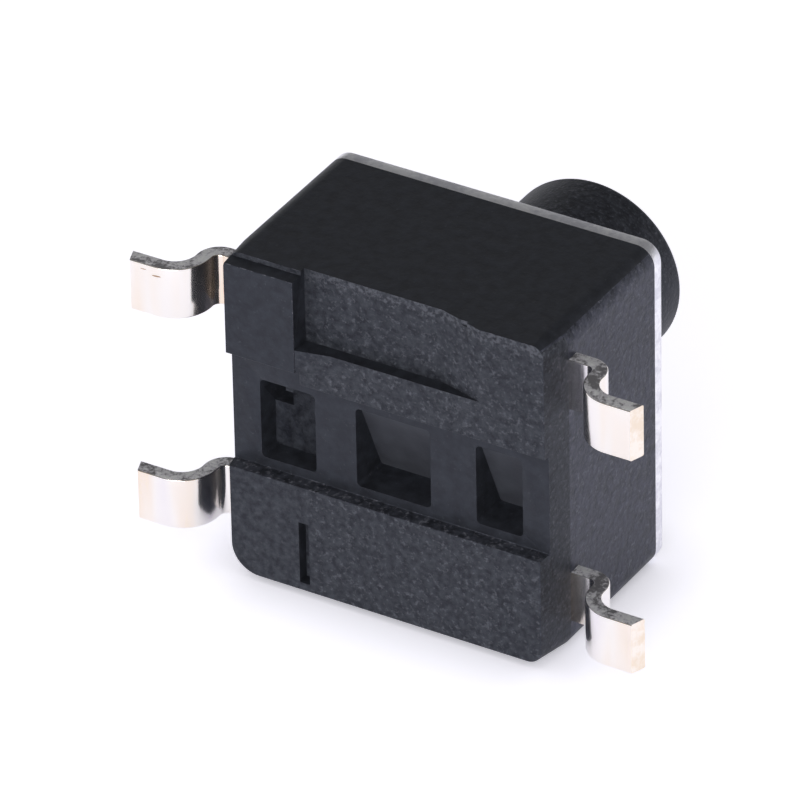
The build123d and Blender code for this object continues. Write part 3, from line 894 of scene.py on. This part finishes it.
def paleTable(name, s, onlySeen):
    # White laminate, matt and even. From its underside it is clear, so no view is blocked. A table
    # that is only seen is clear to everything but the eye, so it takes no light from the switch.
    material, tree = newMaterial(name)
    rays = addNode(tree, "ShaderNodeLightPath").outputs
    seen = addNode(tree, "ShaderNodeMath", {
        0: rays["Is Camera Ray"], 1: rays["Is Glossy Ray"]}, operation="MAXIMUM")
    seenAll = addNode(tree, "ShaderNodeMath", {
        0: seen.outputs["Value"], 1: rays["Is Transmission Ray"]}, operation="MAXIMUM")
    matt = addNode(tree, "ShaderNodeBsdfDiffuse", {"Color": hexColour(s["colour"])})
    # the room's light on it fades close to the switch, which gives the soft shadow at its foot
    near = addNode(tree, "ShaderNodeAmbientOcclusion", {
        "Distance": s["shadeReach"] / perMetre}, samples=8, only_local=False)
    shade = addNode(tree, "ShaderNodeMapRange", {
        "Value": near.outputs["AO"], "From Min": 0.0, "From Max": 1.0,
        "To Min": s["glow"] * (1.0 if onlySeen else 1 - s["shade"]), "To Max": s["glow"]})
    strength = addNode(tree, "ShaderNodeMath", {
        0: seenAll.outputs["Value"], 1: shade.outputs["Result"]}, operation="MULTIPLY")
    glow = addNode(tree, "ShaderNodeEmission", {
        "Color": hexColour(s["colour"]), "Strength": strength.outputs["Value"]})
    both = addNode(tree, "ShaderNodeAddShader", {0: matt.outputs["BSDF"], 1: glow.outputs["Emission"]})
    clear = addNode(tree, "ShaderNodeBsdfTransparent")
    hidden = addNode(tree, "ShaderNodeNewGeometry").outputs["Backfacing"]
    if onlySeen:
        notEye = addNode(tree, "ShaderNodeMath", {0: 1.0, 1: rays["Is Camera Ray"]}, operation="SUBTRACT")
        hidden = addNode(tree, "ShaderNodeMath", {
            0: hidden, 1: notEye.outputs["Value"]}, operation="MAXIMUM").outputs["Value"]
    oneSided = addNode(tree, "ShaderNodeMixShader", {
        0: hidden, 1: both.outputs["Shader"], 2: clear.outputs["BSDF"]})
    addNode(tree, "ShaderNodeOutputMaterial", {"Surface": oneSided.outputs["Shader"]})
    return material


def addTable(name, verts, faces, material):
    mesh = bpy.data.meshes.new(name)
    mesh.from_pydata([[v / perMetre for v in vert] for vert in verts], [], faces)
    mesh.materials.append(material)
    table = addObject(name, mesh)
    return table


def buildTables(s, m, p):
    # The switch lies on its +Y side, so the table of the photo is the plane at that side. It is
    # left out under the housing itself, so that side is lit in the views from behind.
    far, y = s["tableSize"] / 2, m["depth"] / 2
    edge = m["width"] / 2 - m["corner"]
    x0, x1, z0, z1 = -edge, edge, m["parting"], m["top"] + p["thickness"]
    verts = [(-far, y, -far), (far, y, -far), (far, y, far), (-far, y, far),
             (x0, y, z0), (x1, y, z0), (x1, y, z1), (x0, y, z1)]
    faces = [(0, 1, 5, 4), (1, 2, 6, 5), (2, 3, 7, 6), (3, 0, 4, 7)]
    addTable("sideTable", verts, faces, paleTable("paleTable", s, False))
    # the board it would be soldered to, seen only from above
    under = addTable("underTable", [(-far, -far, 0), (far, -far, 0), (far, far, 0), (-far, far, 0)],
                     [(0, 1, 2, 3)], paleTable("paleBoard", s, True))
    under.visible_shadow = False


buildTables(stage, moulding, plate)

# square soft boxes, each with the way to it from the switch, mm away, mm wide and watts
lamps = {"frontLamp": {"towards": (0.2, -0.1, -1.0), "distance": 200, "size": 160, "power": 0.33},
         "topLamp": {"towards": (0.6, 0.1, 1.0), "distance": 200, "size": 160, "power": 0.03}}
middleHeight = 1.4  # mm above the board, where the lamps look


def softBox(name, lamp):
    data = bpy.data.lights.new(name, "AREA")
    data.shape = "SQUARE"
    data.size = lamp["size"] / perMetre
    data.energy = lamp["power"]
    box = addObject(name, data)
    direction = Vector(lamp["towards"]).normalized()
    box.location = direction * lamp["distance"] / perMetre + Vector((0, 0, middleHeight / perMetre))
    box.rotation_euler = direction.to_track_quat("Z", "Y").to_euler()


def lightWorld(s):
    # white to the eye; in reflections white near the table and dimmer overhead, as in a dark room
    world = bpy.data.worlds.new("paleStudio")
    world.use_nodes = True
    tree = world.node_tree
    tree.nodes.clear()
    rays = addNode(tree, "ShaderNodeLightPath").outputs
    aim = addNode(tree, "ShaderNodeTexCoord").outputs["Generated"]
    parts = addNode(tree, "ShaderNodeSeparateXYZ", {"Vector": aim})
    sheen = addNode(tree, "ShaderNodeMapRange", {
        "Value": parts.outputs["Y"], "From Min": s["dimFrom"], "From Max": s["dimTo"],
        "To Min": s["overhead"], "To Max": 1.0}, interpolation_type="SMOOTHSTEP")
    glossy = addNode(tree, "ShaderNodeMix", {
        0: rays["Is Glossy Ray"], 2: s["ambient"], 3: sheen.outputs["Result"]}, data_type="FLOAT")
    seen = addNode(tree, "ShaderNodeMath", {
        0: rays["Is Camera Ray"], 1: rays["Is Transmission Ray"]}, operation="MAXIMUM")
    strength = addNode(tree, "ShaderNodeMix", {
        0: seen.outputs["Value"], 2: glossy.outputs[0], 3: 1.0}, data_type="FLOAT")
    sky = addNode(tree, "ShaderNodeBackground", {
        "Color": (1, 1, 1, 1), "Strength": strength.outputs[0]})
    addNode(tree, "ShaderNodeOutputWorld", {"Surface": sky.outputs["Background"]})
    bpy.context.scene.world = world


lightWorld(stage)
for name, lamp in lamps.items():
    softBox(name, lamp)

# place in mm, the photo's viewing angle as three axes, and a long lens
camera = {"place": (52.960, -66.117, -86.313), "lens": 458.49, "sensor": 36, "near": 0.001, "far": 20,
          "right": (0.85943, 0.01772, 0.51094), "up": (-0.26386, -0.84064, 0.47297),
          "back": (0.43790, -0.54131, -0.71780)}


def placeCamera(c):
    data = bpy.data.cameras.new("photoCamera")
    data.sensor_width = c["sensor"]
    data.lens = c["lens"]
    data.clip_start, data.clip_end = c["near"], c["far"]
    eye = addObject("photoCamera", data)
    axes = Matrix((c["right"], c["up"], c["back"])).transposed()
    eye.matrix_world = Matrix.Translation(Vector(c["place"]) / perMetre) @ axes.to_4x4()
    bpy.context.scene.camera = eye


placeCamera(camera)
bpy.context.scene.view_settings.view_transform = "Standard"
print("stage, lamps and camera set")
